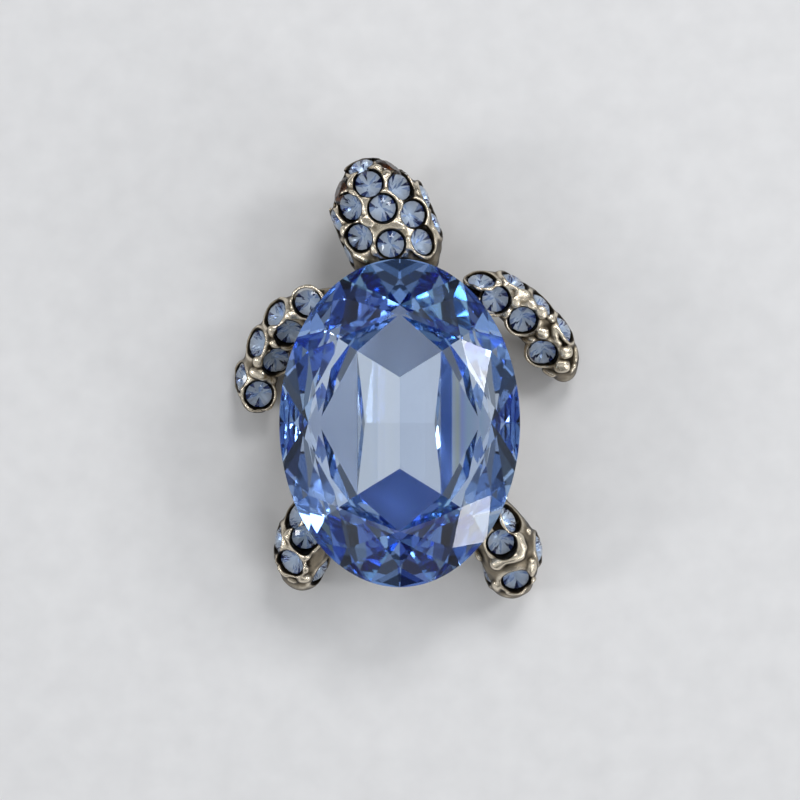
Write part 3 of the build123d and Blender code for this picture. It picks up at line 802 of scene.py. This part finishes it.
def tapered_rod(start, end, start_radius, end_radius):
    """Distance to a rod with round ends."""
    run = end - start
    length_squared = float(run @ run)

    def distance(x, y, z):
        x, y, z = x - start[0], y - start[1], z - start[2]
        share = np.clip((x * run[0] + y * run[1] + z * run[2]) / length_squared, 0, 1)
        gap = (x - share * run[0]) ** 2 + (y - share * run[1]) ** 2 + (z - share * run[2]) ** 2
        return np.sqrt(gap) - (start_radius + share * (end_radius - start_radius))

    return distance


def pebble(centre, axes, radii):
    """Distance to a flattened pebble, close enough near its skin."""

    def distance(x, y, z):
        x, y, z = x - centre[0], y - centre[1], z - centre[2]
        shares = [(x * axis[0] + y * axis[1] + z * axis[2]) / radius for axis, radius in zip(axes, radii)]
        reach = sum(np.abs(share) ** PEBBLE_POWER for share in shares) ** (1 / PEBBLE_POWER) + TINY
        slope = np.sqrt(sum((share / radius) ** 2 for share, radius in zip(shares, radii))) + TINY
        return reach * (reach - 1) / slope

    return distance


def oval(x, y, half_x, half_y):
    """Distance to an upright oval cylinder's wall, close enough near the wall."""
    reach = np.sqrt((x / half_x) ** 2 + (y / half_y) ** 2) + TINY
    slope = np.sqrt((x / half_x ** 2) ** 2 + (y / half_y ** 2) ** 2) + TINY
    return (reach - 1) * reach / slope


def seat_half_sizes(depth):
    """Half width and half length of the shell stone's seat at a depth under its girdle."""
    down = depth / SEAT_DEPTH_MM
    share = 1 + (SEAT_FLOOR_SHARE - 1) * down
    margin = SEAT_MARGIN_MM * (1 - down)
    return half_width * share + margin, half_length * share + margin


def cup_distance(x, y, z):
    """The oval cup, still full."""
    top, bottom = girdle_z - RIM_DROP_MM, girdle_z - CUP_BACK_DROP_MM
    rise = np.clip((z - bottom) / (top - bottom), 0, 1)
    swell = CUP_SWELL_MM * 4 * rise * (1 - rise)
    sizes = []
    for floor, rim in zip(seat_half_sizes(SEAT_DEPTH_MM), seat_half_sizes(RIM_DROP_MM)):
        sizes.append(floor + (rim - floor) * rise + CUP_WALL_MM + swell)
    side = oval(x - shell_middle[0], y - shell_middle[1], *sizes)
    ends = np.maximum(z - top, bottom - z)
    return -smooth_least(-side, -ends, CUP_EDGE_BLEND_MM)


def seat_distance(x, y, z):
    """The hollow for the shell stone."""
    depth = np.clip(girdle_z - z, 0, SEAT_DEPTH_MM)
    sizes = seat_half_sizes(depth)
    side = oval(x - shell_middle[0], y - shell_middle[1], *sizes)
    return np.maximum(side - SEAT_ROOM_MM, girdle_z - SEAT_DEPTH_MM - z)


def limb_line(limb):
    """Points and radii along a limb, smoothed between its sections."""
    root_radius = limb.thickness / 2 * limb.sections[0].girth
    root_height = GIRDLE_RISE_MM - ROOT_DROP_MM - 2 * root_radius
    heading = math.radians(limb.heading)
    ahead = np.array((math.cos(heading), math.sin(heading)))
    aside = np.array((-ahead[1], ahead[0]))
    root = shell_middle[:2] + np.array((half_width * limb.root[0], half_length * limb.root[1]))
    rows = []
    for row in limb.sections:
        radius = limb.thickness / 2 * row.girth
        place = root + limb.reach * (row.along * ahead + row.bow * aside)
        height = girdle_z - GIRDLE_RISE_MM + row.lift * root_height + radius
        rows.append((*place, height, radius * row.slim))
    rows = np.array(rows)
    inward = shell_middle[:2] - rows[0][:2]
    first = rows[0].copy()
    first[:2] += inward * ROOT_LENGTH_MM / np.linalg.norm(inward)
    first[3] *= ROOT_GIRTH
    rows = np.vstack([first, rows])
    slopes = np.gradient(rows, axis=0)
    line = []
    for start, end, slope, next_slope in zip(rows, rows[1:], slopes, slopes[1:]):
        for share in np.arange(0, 1, LINE_STEP):
            line.append(start * (1 + 2 * share) * (1 - share) ** 2 + slope * share * (1 - share) ** 2
                        + end * share ** 2 * (3 - 2 * share) - next_slope * share ** 2 * (1 - share))
    line.append(rows[-1])
    return line


def add_limb(field, limb):
    """One limb's plain body, blended into the cup."""
    line = limb_line(limb)
    margin = 2 * LIMB_BLEND_MM
    low = np.min([row[:3] - row[3] for row in line], axis=0) - margin
    high = np.max([row[:3] + row[3] for row in line], axis=0) + margin
    part, places = field.window(low, high)
    body = np.full(field.values[part].shape, FAR_MM, np.float32)
    for start, end in zip(line, line[1:]):
        body = np.minimum(body, tapered_rod(start[:3], end[:3], start[3], end[3])(*places))
    field.values[part] = smooth_least(field.values[part], body, LIMB_BLEND_MM)


class StonePlace:
    """Where a small stone sits: the middle of its girdle's lower edge, its axis and its half sizes."""

    def __init__(self, node, sizes):
        crown, girdle, self.depth = sizes
        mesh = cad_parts[node].data
        centre, normal = table_of(mesh)
        self.axis = np.array(normal)
        self.middle = np.array(centre) / MM - self.axis * (crown + girdle)
        points = np.array([vertex.co for vertex in mesh.vertices]) / MM - self.middle
        self.long, self.wide = long_and_wide(points, self.axis)
        self.half_long = np.abs(points @ self.long).max()
        self.half_wide = np.abs(points @ self.wide).max()

    def local(self, x, y, z):
        """Distance outside the girdle's outline, and height above it."""
        x, y, z = x - self.middle[0], y - self.middle[1], z - self.middle[2]
        along, across, up = (x * a[0] + y * a[1] + z * a[2] for a in (self.long, self.wide, self.axis))
        reach = np.sqrt((along / self.half_long) ** 2 + (across / self.half_wide) ** 2)
        return (reach - 1) * (self.half_long + self.half_wide) / 2, up

    def rim(self, x, y, z):
        """The swollen rim of metal round the stone."""
        outside, up = self.local(x, y, z)
        return np.sqrt((outside - RIM_OFFSET_MM) ** 2 + (up - RIM_HEIGHT_MM) ** 2) - RIM_RADIUS_MM

    def socket(self, x, y, z):
        """The hole that the stone sits in."""
        outside, up = self.local(x, y, z)
        slope = self.half_wide / self.depth
        lower = (outside - SOCKET_GAP_MM - slope * up) / math.hypot(1, slope)
        side = np.where(up > 0, outside - SOCKET_GAP_MM, lower)
        return np.maximum(side, up - SOCKET_TOP_MM)

    def box(self):
        """A box round the rim and the socket."""
        reach = self.half_long + RIM_OFFSET_MM + RIM_RADIUS_MM + 2 * RIM_BLEND_MM
        return self.middle - reach, self.middle + reach


def seen_point(field, px, py):
    """Where the camera's line through a pixel meets the metal, or passes closest to it."""
    eye = at_pixel(IMAGE_CENTRE, IMAGE_CENTRE) + (0, 0, CAMERA_HEIGHT_MM)
    target = at_pixel(px, py)
    heights = np.arange(girdle_z + LOOK_FROM_MM, LOOK_TO_MM, -LOOK_STEP_MM)
    shares = (eye[2] - heights) / (eye[2] - target[2])
    points = eye + (target - eye) * shares[:, None]
    distances = field.sample(points)
    inside = np.nonzero(distances < 0)[0]
    return points[inside[0] if len(inside) else np.argmin(distances)]


def add_nugget(field, row):
    """One rounded nugget, lying on the metal's skin."""
    point = seen_point(field, row.px, row.py)
    up = field.outward(point, FEEL_MM)
    turn = math.radians(row.turn)
    along = np.array((math.cos(turn), math.sin(turn), 0))
    along = along - up * (along @ up)
    along /= np.linalg.norm(along)
    thick = NUGGET_THICKNESS * min(row.long, row.wide) / 2
    centre = point - up * thick * NUGGET_SINK
    radii = (row.long / 2, row.wide / 2, thick)
    reach = max(radii) + SHAPE_MARGIN_MM
    shape = pebble(centre, (along, np.cross(up, along), up), radii)
    field.join(centre - reach, centre + reach, shape, NUGGET_BLEND_MM)


def add_ridge(field, rows):
    """One worm-like ridge over the metal's skin."""
    points = []
    for row in rows:
        point = seen_point(field, row.px, row.py)
        points.append(point - field.outward(point, FEEL_MM) * row.width * RIDGE_SINK)
    before = field.values.copy()
    for start, end, low_row, high_row in zip(points, points[1:], rows, rows[1:]):
        reach = max(low_row.width, high_row.width) / 2 + SHAPE_MARGIN_MM
        part, places = field.window(np.minimum(start, end) - reach, np.maximum(start, end) + reach)
        rod = tapered_rod(start, end, low_row.width / 2, high_row.width / 2)(*places)
        field.values[part] = np.minimum(field.values[part], smooth_least(before[part], rod, RIDGE_BLEND_MM))


def trim_sliver(field):
    """Takes away the thin edge that is left between the left eye's seat and the stone beside it."""
    centre = seen_point(field, *SLIVER_PX)
    reach = 2 * SLIVER_RADIUS_MM

    def distance(x, y, z):
        return np.sqrt((x - centre[0]) ** 2 + (y - centre[1]) ** 2 + (z - centre[2]) ** 2) - SLIVER_RADIUS_MM

    field.cut(centre - reach, centre + reach, distance, SLIVER_BLEND_MM)


def dents(shape, step, size, seed):
    """Smooth random waves from -1 to 1 over the grid."""
    random = np.random.default_rng(seed)
    counts = [int(length * step / size) + 3 for length in shape]
    waves = random.random(counts).astype(np.float32) * 2 - 1
    for axis, length in enumerate(shape):
        place = np.arange(length) * step / size
        first = place.astype(int)
        share = place - first
        share = (share * share * (3 - 2 * share)).astype(np.float32)
        spread = [1, 1, 1]
        spread[axis] = -1
        share = share.reshape(spread)
        waves = np.take(waves, first, axis) * (1 - share) + np.take(waves, first + 1, axis) * share
    return waves


def box_blur(values, reach):
    """The mean over a cube of grid points."""
    width = 2 * reach + 1
    for axis in range(3):
        padding = [(0, 0)] * 3
        padding[axis] = (reach + 1, reach)
        total = np.cumsum(np.pad(values, padding, mode="edge"), axis=axis, dtype=np.float64)
        length = values.shape[axis]
        high = np.take(total, np.arange(width, width + length), axis)
        low = np.take(total, np.arange(0, length), axis)
        values = ((high - low) / width).astype(np.float32)
    return values


def skin_of(field):
    """Points and four-sided faces of the skin, where the distance is nought."""
    values = field.values
    inside = values < 0
    wide, deep, high = np.array(values.shape) - 1
    counts = sum(inside[i:i + wide, j:j + deep, k:k + high].astype(np.uint8) for i, j, k in CORNERS)
    mixed = (counts > 0) & (counts < 8)
    cells = np.argwhere(mixed)
    number = np.full(mixed.shape, -1, np.int32)
    number[mixed] = np.arange(len(cells))
    at_corner = np.stack([values[tuple((cells + corner).T)] for corner in CORNERS], axis=1)
    total = np.zeros((len(cells), 3))
    hits = np.zeros(len(cells))
    for a, b in EDGES:
        start, end = at_corner[:, a], at_corner[:, b]
        crosses = (start < 0) != (end < 0)
        share = np.where(crosses, start / np.where(crosses, start - end, 1), 0)
        point = CORNERS[a] + share[:, None] * (CORNERS[b] - CORNERS[a])
        total += np.where(crosses[:, None], point, 0)
        hits += crosses
    points = field.low + field.step * (cells + total / hits[:, None])
    faces = []
    for axis in range(3):
        before = np.take(inside, np.arange(inside.shape[axis] - 1), axis)
        after = np.take(inside, np.arange(1, inside.shape[axis]), axis)
        first, second = np.eye(3, dtype=int)[(axis + 1) % 3], np.eye(3, dtype=int)[(axis + 2) % 3]
        edges = np.argwhere(before != after)
        corners = [edges - first - second, edges - second, edges, edges - first]
        quads = np.stack([number[tuple(corner.T)] for corner in corners], axis=1)
        leaving = before[tuple(edges.T)]
        faces.append(np.where(leaving[:, None], quads, quads[:, ::-1]))
    return points, np.vstack(faces)


def relaxed(points, faces, rounds):
    """Points moved half way to the mean of their neighbours, some times over."""
    here, there = np.vstack([faces[:, [k, (k + 1) % 4]] for k in range(4)]).T
    counts = np.bincount(here, minlength=len(points))
    for _ in range(rounds):
        sums = [np.bincount(here, places, len(points)) for places in points[there].T]
        points = (points + np.transpose(sums) / counts[:, None]) / 2
    return points


def raised(field, reach, points):
    """How far the skin stands out from its surroundings, from 0 in the hollows to 1 on the crests."""
    blurred = Field(field.low, field.low, field.step)
    width = (2 * reach + 1) * field.step
    blurred.values = box_blur(np.clip(field.values, -width / 2, width / 2), reach)
    return np.clip(0.5 + blurred.sample(points) / (RAISED_SHARE * width), 0, 1)


def cast_metal():
    """The whole casting as one mesh, with its relief."""
    box_low, box_high = (np.array(corner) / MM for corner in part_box("casting"))
    field = Field(box_low - GRID_MARGIN_MM, box_high + GRID_MARGIN_MM, GRID_STEP_MM)
    everywhere = (box_low - 1, box_high + 1)
    field.join(*everywhere, cup_distance, CUP_BLEND_MM)
    for limb in LIMBS:
        add_limb(field, limb)
    stones = [StonePlace(node, GEM_HEIGHTS_MM) for node in SMALL_STONES]
    stones += [StonePlace(node, EYE_HEIGHTS_MM) for node in EYE_STONES]
    for stone in stones:
        field.join(*stone.box(), stone.rim, RIM_BLEND_MM)
    for row in NUGGETS:
        add_nugget(field, row)
    for row in RIDGES:
        add_ridge(field, row)
    field.values += DENT_DEPTH_MM * dents(field.values.shape, field.step, DENT_SIZE_MM, DENT_SEED)
    field.cut(*everywhere, seat_distance, SEAT_BLEND_MM)
    for stone in stones:
        field.cut(*stone.box(), stone.socket, SOCKET_BLEND_MM)
    trim_sliver(field)
    _, places = field.window(*everywhere)
    for low, high, place in zip(box_low, box_high, places):
        beyond = np.maximum(low + BOX_MARGIN_MM - place, place - high + BOX_MARGIN_MM)
        field.values = np.maximum(field.values, beyond)
    points, faces = skin_of(field)
    points = relaxed(points, faces, SMOOTHING_ROUNDS)
    return points, faces, wear_and_painted_shade_of(field, points, stones)


def wear_and_painted_shade_of(field, points, stones):
    """How bright wear, antiquing and painted shade leave each point, from 0 for blackened to 1: hollows
    darkened partly by antiquing and partly by painted shade, and painted shade on flanks that face sideways
    and in a ring round each stone.
    """
    wear_and_painted_shade = sum(share * raised(field, reach, points) for reach, share in HOLLOW_REACHES)
    # Painted shade: flanks that face sideways are darkened, and the back is kept at a middling brightness
    rise = field.sample(points + (0, 0, SLOPE_REACH_MM)) - field.sample(points - (0, 0, SLOPE_REACH_MM))
    upward = rise / (2 * SLOPE_REACH_MM)
    wear_and_painted_shade *= np.clip(FLANK_SHARE + upward / FLANK_SLOPE, 0, 1)
    wear_and_painted_shade = np.maximum(wear_and_painted_shade, BACK_LEAST_BRIGHTNESS * np.clip(BACK_SLOPE - upward, 0, 1))
    # Painted shade in a ring round each stone, where its socket's gap is
    for stone in stones:
        outside, up = stone.local(*points.T)
        near = (np.abs(up) < RING_UP_MM) & (outside < RING_OUT_MM)
        wear_and_painted_shade = np.where(near, wear_and_painted_shade * np.clip((outside - SOCKET_GAP_MM) / RING_SHADE_MM, 0, 1), wear_and_painted_shade)
    return wear_and_painted_shade


def gold_material(name, worn_and_shaded):
    """Antiqued pale gold: brighter high spots, hollows blackened partly by antiquing and partly by painted
    shade, painted shade on the flanks and round the stones, small dents and a fine grain.
    """
    material = bpy.data.materials.new(name)
    material.use_nodes = True
    nodes, links = material.node_tree.nodes, material.node_tree.links
    shader = nodes["Principled BSDF"]
    shader.inputs["Metallic"].default_value = 1.0
    cloud = nodes.new("ShaderNodeTexNoise")
    cloud.inputs["Scale"].default_value = 900.0
    cloud.inputs["Detail"].default_value = 4.0
    bright = nodes.new("ShaderNodeValToRGB")
    bright.color_ramp.elements[0].position = 0.35
    bright.color_ramp.elements[0].color = (0.64, 0.55, 0.41, 1)
    bright.color_ramp.elements[1].position = 0.65
    bright.color_ramp.elements[1].color = (0.95, 0.87, 0.73, 1)
    links.new(cloud.outputs["Fac"], bright.inputs[0])
    colour, gloss = bright.outputs[0], cloud.outputs["Fac"]
    # Hollows darkened partly by antiquing and partly by painted shade, and painted shade on flanks and round
    # the stones, from the mesh's attribute
    if worn_and_shaded:
        wear_and_painted_shade = nodes.new("ShaderNodeAttribute")
        wear_and_painted_shade.attribute_name = "wear_and_painted_shade"
        grade = maths(nodes, "MULTIPLY_ADD")
        grade.inputs[1].default_value = 0.30
        links.new(cloud.outputs["Fac"], grade.inputs[0])
        links.new(wear_and_painted_shade.outputs["Fac"], grade.inputs[2])
        antiquing_and_shade = nodes.new("ShaderNodeValToRGB")
        antiquing_and_shade.color_ramp.elements[0].position = 0.44
        antiquing_and_shade.color_ramp.elements[0].color = (0.03, 0.025, 0.02, 1)
        antiquing_and_shade.color_ramp.elements[1].position = 0.98
        antiquing_and_shade.color_ramp.elements[1].color = (1, 1, 1, 1)
        antiquing_and_shade.color_ramp.elements.new(0.74).color = (0.34, 0.32, 0.29, 1)
        links.new(grade.outputs[0], antiquing_and_shade.inputs[0])
        colour = multiply_colours(nodes, links, colour, antiquing_and_shade.outputs[0])
        gloss = antiquing_and_shade.outputs[0]
    links.new(colour, shader.inputs["Base Color"])
    roughness = map_range(nodes, (0.0, 1.0), (0.42, 0.12))
    links.new(gloss, roughness.inputs["Value"])
    links.new(roughness.outputs[0], shader.inputs["Roughness"])
    grain = nodes.new("ShaderNodeTexNoise")
    grain.inputs["Scale"].default_value = 2600.0
    grain.inputs["Detail"].default_value = 3.0
    bump = nodes.new("ShaderNodeBump")
    bump.inputs["Strength"].default_value = 0.25
    bump.inputs["Distance"].default_value = 0.00005
    links.new(grain.outputs["Fac"], bump.inputs["Height"])
    links.new(bump.outputs["Normal"], shader.inputs["Normal"])
    return material


def dress_casting():
    """The casting's mesh, thinned where it is plain, in place of its solid."""
    points, faces, wear_and_painted_shade = cast_metal()
    mesh = bpy.data.meshes.new("casting_skin")
    mesh.from_pydata((points * MM).tolist(), [], faces.tolist())
    # The attribute carries wear, antiquing and painted shade
    mesh.attributes.new("wear_and_painted_shade", "FLOAT", "POINT").data.foreach_set("value", wear_and_painted_shade.astype(np.float32))
    dense = bpy.data.objects.new("casting_dense", mesh)
    bpy.context.scene.collection.objects.link(dense)
    thin = dense.modifiers.new("thin", "DECIMATE")
    thin.ratio = min(1.0, MOST_TRIANGLES / (2 * len(faces)))
    depsgraph = bpy.context.evaluated_depsgraph_get()
    finished = bpy.data.meshes.new_from_object(dense.evaluated_get(depsgraph))
    bpy.data.objects.remove(dense)
    finished.validate()
    finished.name = "casting_metal"
    finished.polygons.foreach_set("use_smooth", [True] * len(finished.polygons))
    finished.materials.clear()
    finished.materials.append(gold_material("antique_gold", True))
    piece = bpy.data.objects.new("casting_metal", finished)
    bpy.context.scene.collection.objects.link(piece)
    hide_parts("casting")
    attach(piece, "root")


dress_casting()
pin_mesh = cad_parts["brooch_pin"].data
pin_mesh.materials.clear()
pin_mesh.materials.append(gold_material("pin_gold", False))
